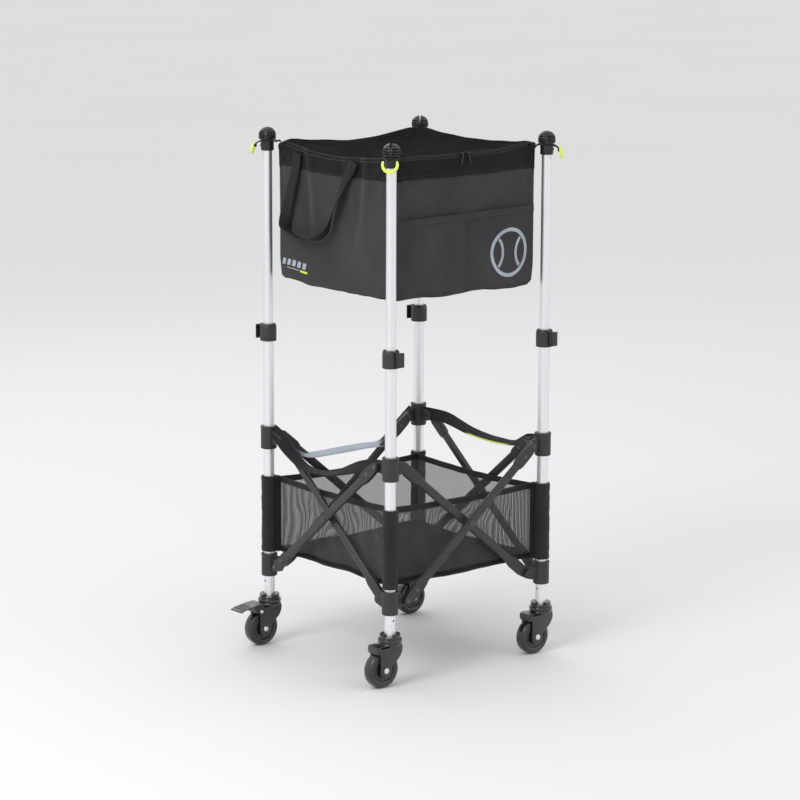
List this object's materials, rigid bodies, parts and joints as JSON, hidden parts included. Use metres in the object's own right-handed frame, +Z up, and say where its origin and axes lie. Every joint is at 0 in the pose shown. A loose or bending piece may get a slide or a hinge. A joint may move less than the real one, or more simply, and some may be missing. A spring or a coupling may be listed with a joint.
{
  "type": "folding wheeled tennis ball cart",
  "caption": "Folding wheeled tennis ball cart: telescopic aluminium posts on casters, scissor side frames, zipped fabric ball hopper with flip-back lid above a mesh basket",
  "frame": {"origin": "centre of the bounding box at floor level, where the wheels stand", "axes": "+Z up; -Y is the front side, the side without a cross strap and with the bag pocket; +X to the right seen from the front; the casters trail towards -X"},
  "size_m": [0.5114, 0.4516, 1.0516],
  "materials": {
    "tube": "satin anodised tube",
    "moulding": "fine textured black moulding",
    "pull": "neon yellow-green moulding",
    "caster": "gloss black caster",
    "pedal": "gloss black pressed steel",
    "strut": "black oval strut",
    "webbing": "woven webbing",
    "canvas": "black woven polyester",
    "mesh": "black open mesh and coated cloth"
  },
  "bodies": {
    "basket": {"basket": "mesh"},
    "leg_front_left": {"leg_front_left": "tube", "hub_lower_front_left": "moulding", "collar_front_left": "moulding"},
    "sliding_hub_front_left": {"hub_upper_front_left": "moulding", "strap_left": "webbing"},
    "mast_front_left": {"mast_front_left": "tube", "cap_front_left": "moulding", "pull_front_left": "pull", "bag_handle": "webbing"},
    "lever_front_left": {"lever_front_left": "moulding"},
    "caster_front_left": {"fork_front_left": "caster"},
    "wheel_front_left": {"wheel_front_left": "caster"},
    "leg_front_right": {"leg_front_right": "tube", "hub_lower_front_right": "moulding", "collar_front_right": "moulding"},
    "sliding_hub_front_right": {"hub_upper_front_right": "moulding", "strap_right": "webbing"},
    "mast_front_right": {"mast_front_right": "tube", "cap_front_right": "moulding", "pull_front_right": "pull"},
    "lever_front_right": {"lever_front_right": "moulding"},
    "caster_front_right": {"fork_front_right": "caster"},
    "wheel_front_right": {"wheel_front_right": "caster"},
    "leg_rear_left": {"leg_rear_left": "tube", "hub_lower_rear_left": "moulding", "collar_rear_left": "moulding"},
    "sliding_hub_rear_left": {"hub_upper_rear_left": "moulding"},
    "mast_rear_left": {"mast_rear_left": "tube", "cap_rear_left": "moulding", "pull_rear_left": "pull"},
    "lever_rear_left": {"lever_rear_left": "moulding"},
    "caster_rear_left": {"fork_rear_left": "caster"},
    "wheel_rear_left": {"wheel_rear_left": "caster"},
    "leg_rear_right": {"leg_rear_right": "tube", "hub_lower_rear_right": "moulding", "collar_rear_right": "moulding"},
    "sliding_hub_rear_right": {"hub_upper_rear_right": "moulding", "strap_rear": "webbing"},
    "mast_rear_right": {"mast_rear_right": "tube", "cap_rear_right": "moulding", "pull_rear_right": "pull"},
    "lever_rear_right": {"lever_rear_right": "moulding"},
    "caster_rear_right": {"fork_rear_right": "caster"},
    "wheel_rear_right": {"wheel_rear_right": "caster"},
    "brake": {"brake_pedal": "pedal"},
    "strut_front_outer": {"strut_front_outer": "strut"},
    "strut_front_inner": {"strut_front_inner": "strut"},
    "strut_right_outer": {"strut_right_outer": "strut"},
    "strut_right_inner": {"strut_right_inner": "strut"},
    "strut_rear_outer": {"strut_rear_outer": "strut"},
    "strut_rear_inner": {"strut_rear_inner": "strut"},
    "strut_left_outer": {"strut_left_outer": "strut"},
    "strut_left_inner": {"strut_left_inner": "strut"},
    "bag": {"bag_body": "canvas"},
    "lid": {"bag_lid_rear": "canvas"},
    "lid_middle": {"bag_lid_middle": "canvas"},
    "lid_front": {"bag_lid_front": "canvas"}
  },
  "joints": [
    {"name": "fold", "type": "slide", "parent": "basket", "child": "leg_front_left", "axis": [0.7071, 0.7071, 0], "range_m": [0, 0.15556], "deforming": ["basket", "bag_body", "bag_lid_rear", "bag_lid_middle", "bag_lid_front", "bag_handle", "strap_right", "strap_rear", "strap_left"]},
    {"name": "hub_slide_front_left", "type": "slide", "parent": "leg_front_left", "child": "sliding_hub_front_left", "axis": [0, 0, 1], "range_m": [0, 0.13896]},
    {"name": "height", "type": "slide", "parent": "leg_front_left", "child": "mast_front_left", "axis": [0, 0, -1], "range_m": [0, 0.3]},
    {"name": "lever_flip_front_left", "type": "hinge", "parent": "leg_front_left", "child": "lever_front_left", "pos_m": [-0.16517, -0.215, 0.642], "axis": [0, 0, -1], "range_deg": [0, 95]},
    {"name": "swivel_front_left", "type": "hinge", "parent": "leg_front_left", "child": "caster_front_left", "pos_m": [-0.16517, -0.195, 0.086], "axis": [0, 0, 1], "continuous": true},
    {"name": "axle_front_left", "type": "hinge", "parent": "caster_front_left", "child": "wheel_front_left", "pos_m": [-0.18717, -0.195, 0.036], "axis": [0, 1, 0], "continuous": true},
    {"name": "fold_front_right", "type": "slide", "parent": "basket", "child": "leg_front_right", "axis": [-0.7071, 0.7071, 0], "range_m": [0, 0.15556]},
    {"name": "hub_slide_front_right", "type": "slide", "parent": "leg_front_right", "child": "sliding_hub_front_right", "axis": [0, 0, 1], "range_m": [0, 0.13896]},
    {"name": "height_front_right", "type": "slide", "parent": "leg_front_right", "child": "mast_front_right", "axis": [0, 0, -1], "range_m": [0, 0.3]},
    {"name": "lever_flip_front_right", "type": "hinge", "parent": "leg_front_right", "child": "lever_front_right", "pos_m": [0.22483, -0.215, 0.642], "axis": [0, 0, -1], "range_deg": [0, 95]},
    {"name": "swivel_front_right", "type": "hinge", "parent": "leg_front_right", "child": "caster_front_right", "pos_m": [0.22483, -0.195, 0.086], "axis": [0, 0, 1], "continuous": true},
    {"name": "axle_front_right", "type": "hinge", "parent": "caster_front_right", "child": "wheel_front_right", "pos_m": [0.20283, -0.195, 0.036], "axis": [0, 1, 0], "continuous": true},
    {"name": "fold_rear_left", "type": "slide", "parent": "basket", "child": "leg_rear_left", "axis": [0.7071, -0.7071, 0], "range_m": [0, 0.15556]},
    {"name": "hub_slide_rear_left", "type": "slide", "parent": "leg_rear_left", "child": "sliding_hub_rear_left", "axis": [0, 0, 1], "range_m": [0, 0.13896]},
    {"name": "height_rear_left", "type": "slide", "parent": "leg_rear_left", "child": "mast_rear_left", "axis": [0, 0, -1], "range_m": [0, 0.3]},
    {"name": "lever_flip_rear_left", "type": "hinge", "parent": "leg_rear_left", "child": "lever_rear_left", "pos_m": [-0.16517, 0.215, 0.642], "axis": [0, 0, -1], "range_deg": [0, 95]},
    {"name": "swivel_rear_left", "type": "hinge", "parent": "leg_rear_left", "child": "caster_rear_left", "pos_m": [-0.16517, 0.195, 0.086], "axis": [0, 0, 1], "continuous": true},
    {"name": "axle_rear_left", "type": "hinge", "parent": "caster_rear_left", "child": "wheel_rear_left", "pos_m": [-0.18717, 0.195, 0.036], "axis": [0, 1, 0], "continuous": true},
    {"name": "fold_rear_right", "type": "slide", "parent": "basket", "child": "leg_rear_right", "axis": [-0.7071, -0.7071, 0], "range_m": [0, 0.15556]},
    {"name": "hub_slide_rear_right", "type": "slide", "parent": "leg_rear_right", "child": "sliding_hub_rear_right", "axis": [0, 0, 1], "range_m": [0, 0.13896]},
    {"name": "height_rear_right", "type": "slide", "parent": "leg_rear_right", "child": "mast_rear_right", "axis": [0, 0, -1], "range_m": [0, 0.3]},
    {"name": "lever_flip_rear_right", "type": "hinge", "parent": "leg_rear_right", "child": "lever_rear_right", "pos_m": [0.22483, 0.215, 0.642], "axis": [0, 0, -1], "range_deg": [0, 95]},
    {"name": "swivel_rear_right", "type": "hinge", "parent": "leg_rear_right", "child": "caster_rear_right", "pos_m": [0.22483, 0.195, 0.086], "axis": [0, 0, 1], "continuous": true},
    {"name": "axle_rear_right", "type": "hinge", "parent": "caster_rear_right", "child": "wheel_rear_right", "pos_m": [0.20283, 0.195, 0.036], "axis": [0, 1, 0], "continuous": true},
    {"name": "brake_press", "type": "hinge", "parent": "caster_rear_left", "child": "brake", "pos_m": [-0.19917, 0.195, 0.074], "axis": [0, -1, 0], "range_deg": [0, 12], "stiffness_Nm_per_rad": 6, "springref_deg": -2.86},
    {"name": "pivot_front_outer", "type": "hinge", "parent": "leg_front_left", "child": "strut_front_outer", "pos_m": [-0.13017, -0.195, 0.165], "axis": [0, -1, 0], "range_deg": [0, 36.61]},
    {"name": "pivot_front_inner", "type": "hinge", "parent": "leg_front_right", "child": "strut_front_inner", "pos_m": [0.18983, -0.195, 0.165], "axis": [0, 1, 0], "range_deg": [0, 36.61]},
    {"name": "pivot_right_outer", "type": "hinge", "parent": "leg_front_right", "child": "strut_right_outer", "pos_m": [0.22483, -0.16, 0.165], "axis": [1, 0, 0], "range_deg": [0, 36.61]},
    {"name": "pivot_right_inner", "type": "hinge", "parent": "leg_rear_right", "child": "strut_right_inner", "pos_m": [0.22483, 0.16, 0.165], "axis": [-1, 0, 0], "range_deg": [0, 36.61]},
    {"name": "pivot_rear_outer", "type": "hinge", "parent": "leg_rear_right", "child": "strut_rear_outer", "pos_m": [0.18983, 0.195, 0.165], "axis": [0, 1, 0], "range_deg": [0, 36.61]},
    {"name": "pivot_rear_inner", "type": "hinge", "parent": "leg_rear_left", "child": "strut_rear_inner", "pos_m": [-0.13017, 0.195, 0.165], "axis": [0, -1, 0], "range_deg": [0, 36.61]},
    {"name": "pivot_left_outer", "type": "hinge", "parent": "leg_rear_left", "child": "strut_left_outer", "pos_m": [-0.16517, 0.16, 0.165], "axis": [-1, 0, 0], "range_deg": [0, 36.61]},
    {"name": "pivot_left_inner", "type": "hinge", "parent": "leg_front_left", "child": "strut_left_inner", "pos_m": [-0.16517, -0.16, 0.165], "axis": [1, 0, 0], "range_deg": [0, 36.61]},
    {"name": "height_bag", "type": "slide", "parent": "basket", "child": "bag", "axis": [0, 0, -1], "range_m": [0, 0.3]},
    {"name": "lid_open", "type": "hinge", "parent": "mast_rear_left", "child": "lid", "pos_m": [0.02983, 0.181, 1.0185], "axis": [-1, 0, 0], "range_deg": [0, 255]},
    {"name": "lid_gather_middle", "type": "slide", "parent": "lid", "child": "lid_middle", "axis": [0, 1, 0], "range_m": [0, 0.11]},
    {"name": "lid_gather_front", "type": "slide", "parent": "lid", "child": "lid_front", "axis": [0, 1, 0], "range_m": [0, 0.22]}
  ],
  "couplings": [
    {"joint": "hub_slide_front_left", "follows": "fold", "ratio": 0.89325},
    {"joint": "fold_front_right", "follows": "fold", "ratio": 1},
    {"joint": "hub_slide_front_right", "follows": "fold", "ratio": 0.89325},
    {"joint": "height_front_right", "follows": "height", "ratio": 1},
    {"joint": "fold_rear_left", "follows": "fold", "ratio": 1},
    {"joint": "hub_slide_rear_left", "follows": "fold", "ratio": 0.89325},
    {"joint": "height_rear_left", "follows": "height", "ratio": 1},
    {"joint": "fold_rear_right", "follows": "fold", "ratio": 1},
    {"joint": "hub_slide_rear_right", "follows": "fold", "ratio": 0.89325},
    {"joint": "height_rear_right", "follows": "height", "ratio": 1},
    {"joint": "pivot_front_outer", "follows": "fold", "rad_per_m": 4.1078},
    {"joint": "pivot_front_inner", "follows": "fold", "rad_per_m": 4.1078},
    {"joint": "pivot_right_outer", "follows": "fold", "rad_per_m": 4.1078},
    {"joint": "pivot_right_inner", "follows": "fold", "rad_per_m": 4.1078},
    {"joint": "pivot_rear_outer", "follows": "fold", "rad_per_m": 4.1078},
    {"joint": "pivot_rear_inner", "follows": "fold", "rad_per_m": 4.1078},
    {"joint": "pivot_left_outer", "follows": "fold", "rad_per_m": 4.1078},
    {"joint": "pivot_left_inner", "follows": "fold", "rad_per_m": 4.1078},
    {"joint": "height_bag", "follows": "height", "ratio": 1},
    {"joint": "lid_gather_middle", "follows": "fold", "ratio": 0.70711},
    {"joint": "lid_gather_front", "follows": "fold", "ratio": 1.4142}
  ]
}
